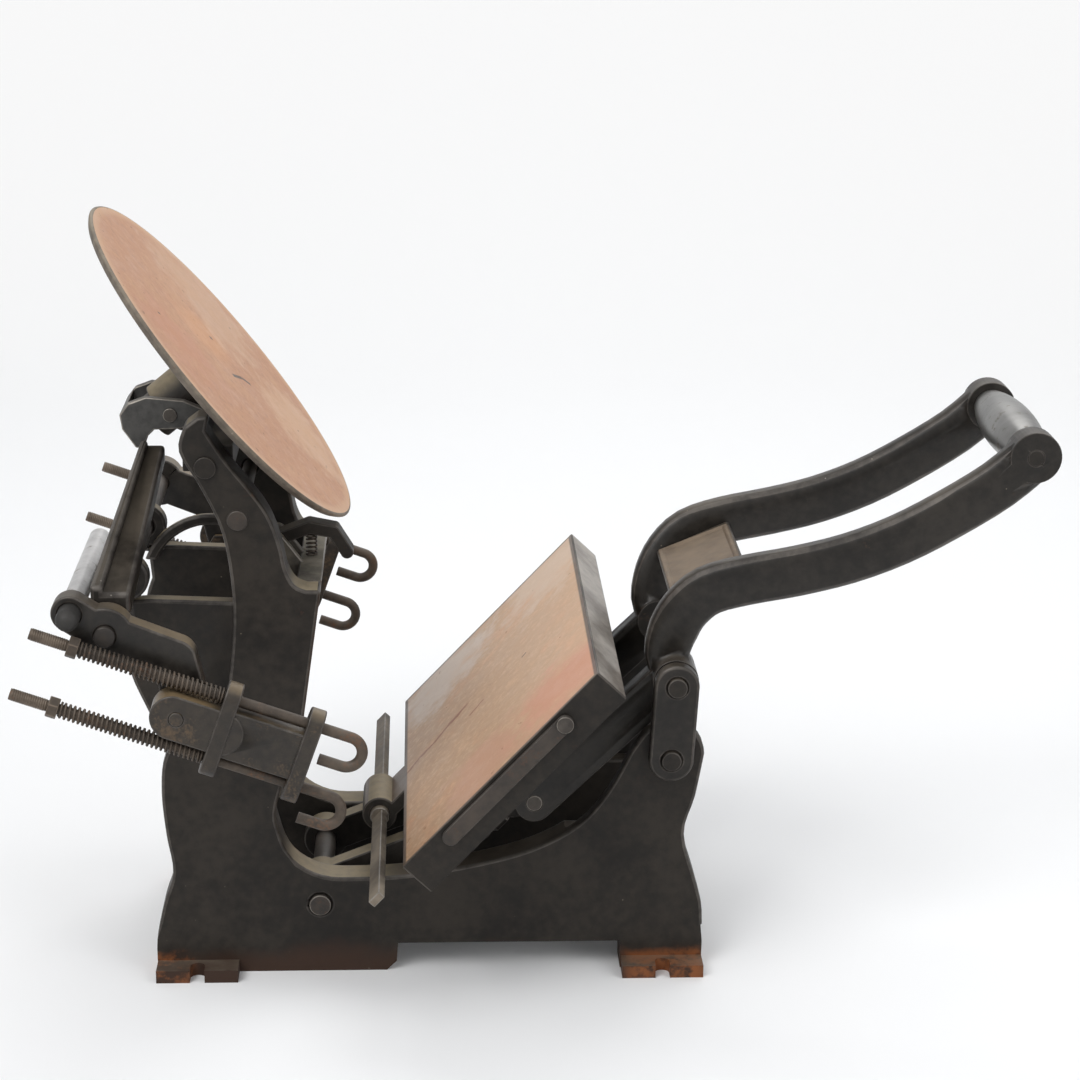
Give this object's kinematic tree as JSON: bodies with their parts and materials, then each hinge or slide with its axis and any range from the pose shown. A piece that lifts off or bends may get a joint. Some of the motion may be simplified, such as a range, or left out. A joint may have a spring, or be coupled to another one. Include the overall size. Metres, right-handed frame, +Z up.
{
  "type": "tabletop letterpress",
  "caption": "Hand-lever platen press: cast frame with leaning bed, rocking platen, forked handle on links, swinging roller frame with sprung hooks, and a turning ink disc.",
  "frame": {"origin": "on the table, below the middle of the whole press along and across", "axes": "+X towards the handle, +Y towards the far side, +Z up"},
  "size_m": [0.61, 0.384, 0.4619],
  "materials": {
    "painted_iron": "old near-black paint on cast iron, worn and dusty",
    "bare_iron": "bare or thinly painted iron, brown-grey",
    "rusty_steel": "steel with an even brown rust",
    "bright_steel": "steel rubbed bright",
    "ink_film": "machined iron under a salmon film of old ink and rust"
  },
  "bodies": {
    "frame": {"side_frame_near": "painted_iron", "side_frame_far": "painted_iron", "bed_casting": "bare_iron", "post_tie": "painted_iron", "platen_shaft": "bare_iron", "frame_stay": "bare_iron", "link_foot_pins": "bare_iron", "disc_bracket": "painted_iron", "bracket_screws": "bare_iron", "pawl_pins": "bare_iron", "clamp_pin": "bare_iron", "clamp_spring": "rusty_steel"},
    "platen": {"platen_carrier": "painted_iron", "platen": "ink_film", "impression_screws": "bare_iron", "lock_nuts": "bare_iron", "bail_rivets": "bare_iron"},
    "gripper": {"gripper_bar": "bare_iron"},
    "bail_near": {"side_bail_near": "bare_iron"},
    "bail_far": {"side_bail_far": "bare_iron"},
    "links": {"link_near": "painted_iron", "link_far": "painted_iron"},
    "handle": {"handle": "painted_iron", "link_head_pins": "bare_iron", "tail_pins": "bare_iron", "handle_grip": "bright_steel", "grip_rod": "bare_iron"},
    "roller_frame": {"roller_shaft": "bare_iron", "roller_arm_near": "painted_iron", "roller_arm_far": "painted_iron", "trip_arm": "painted_iron", "frame_rod": "bright_steel", "saddle_near": "painted_iron", "saddle_far": "painted_iron", "saddle_bolts": "rusty_steel", "spring_near_upper": "rusty_steel", "spring_near_lower": "rusty_steel", "spring_far_upper": "rusty_steel", "spring_far_lower": "rusty_steel"},
    "ink_disc": {"ink_disc": "ink_film", "disc_spindle": "bare_iron", "ratchet_wheel": "bare_iron", "spindle_collar": "bare_iron"},
    "pawl": {"pawl": "painted_iron"},
    "clamp": {"chase_clamp": "painted_iron"},
    "hook_near_upper": {"hook_near_upper": "rusty_steel", "nut_near_upper": "rusty_steel"},
    "hook_near_lower": {"hook_near_lower": "rusty_steel", "nut_near_lower": "rusty_steel"},
    "hook_far_upper": {"hook_far_upper": "rusty_steel", "nut_far_upper": "rusty_steel"},
    "hook_far_lower": {"hook_far_lower": "rusty_steel", "nut_far_lower": "rusty_steel"}
  },
  "joints": [
    {"name": "platen_rock", "type": "hinge", "parent": "frame", "child": "platen", "pos_m": [-0.13818, 0, 0.0443], "axis": [0, -1, 0], "range_deg": [0, 35.4]},
    {"name": "link_swing", "type": "hinge", "parent": "frame", "child": "links", "pos_m": [0.07542, 0, 0.1408], "axis": [0, -1, 0], "range_deg": [0, 34.09]},
    {"name": "handle_swing", "type": "hinge", "parent": "links", "child": "handle", "pos_m": [0.07802, 0, 0.18733], "axis": [0, -1, 0], "range_deg": [-73.12, 0]},
    {"name": "roller_swing", "type": "hinge", "parent": "frame", "child": "roller_frame", "pos_m": [-0.25148, 0, 0.251], "axis": [0, -1, 0], "range_deg": [0, 105.05]},
    {"name": "disc_spin", "type": "hinge", "parent": "frame", "child": "ink_disc", "pos_m": [-0.19388, 0, 0.3703], "axis": [0.7727, 0, 0.6347], "continuous": true},
    {"name": "pawl_tilt", "type": "hinge", "parent": "frame", "child": "pawl", "pos_m": [-0.22548, 0, 0.3419], "axis": [0, 1, 0], "range_deg": [0, 4]},
    {"name": "clamp_lift", "type": "hinge", "parent": "frame", "child": "clamp", "pos_m": [-0.16508, 0, 0.258], "axis": [0, -1, 0], "range_deg": [0, 8], "stiffness_Nm_per_rad": 0.5, "springref_deg": -5.73, "deforming": ["clamp_spring"]},
    {"name": "gripper_turn", "type": "hinge", "parent": "platen", "child": "gripper", "pos_m": [-0.10204, 0, 0.08252], "axis": [0, -1, 0], "range_deg": [-45, 45]},
    {"name": "bail_near_lift", "type": "hinge", "parent": "platen", "child": "bail_near", "pos_m": [0.00728, 0, 0.18793], "axis": [0, 1, 0], "range_deg": [0, 60]},
    {"name": "bail_far_lift", "type": "hinge", "parent": "platen", "child": "bail_far", "pos_m": [0.00728, 0, 0.18793], "axis": [0, 1, 0], "range_deg": [0, 60]},
    {"name": "hook_near_upper_slide", "type": "slide", "parent": "roller_frame", "child": "hook_near_upper", "axis": [0.9426, 0, -0.3338], "range_m": [0, 0.04], "stiffness_N_per_m": 300, "springref_m": -0.01, "deforming": ["spring_near_upper"]},
    {"name": "hook_near_lower_slide", "type": "slide", "parent": "roller_frame", "child": "hook_near_lower", "axis": [0.9426, 0, -0.3338], "range_m": [0, 0.04], "stiffness_N_per_m": 300, "springref_m": -0.01, "deforming": ["spring_near_lower"]},
    {"name": "hook_far_upper_slide", "type": "slide", "parent": "roller_frame", "child": "hook_far_upper", "axis": [0.9426, 0, -0.3338], "range_m": [0, 0.04], "stiffness_N_per_m": 300, "springref_m": -0.01, "deforming": ["spring_far_upper"]},
    {"name": "hook_far_lower_slide", "type": "slide", "parent": "roller_frame", "child": "hook_far_lower", "axis": [0.9426, 0, -0.3338], "range_m": [0, 0.04], "stiffness_N_per_m": 300, "springref_m": -0.01, "deforming": ["spring_far_lower"]}
  ],
  "couplings": [
    {"joint": "link_swing", "follows": "platen_rock", "ratio": 0.96251},
    {"joint": "handle_swing", "follows": "platen_rock", "ratio": -2.0648},
    {"joint": "roller_swing", "follows": "platen_rock", "ratio": 2.9661}
  ]
}
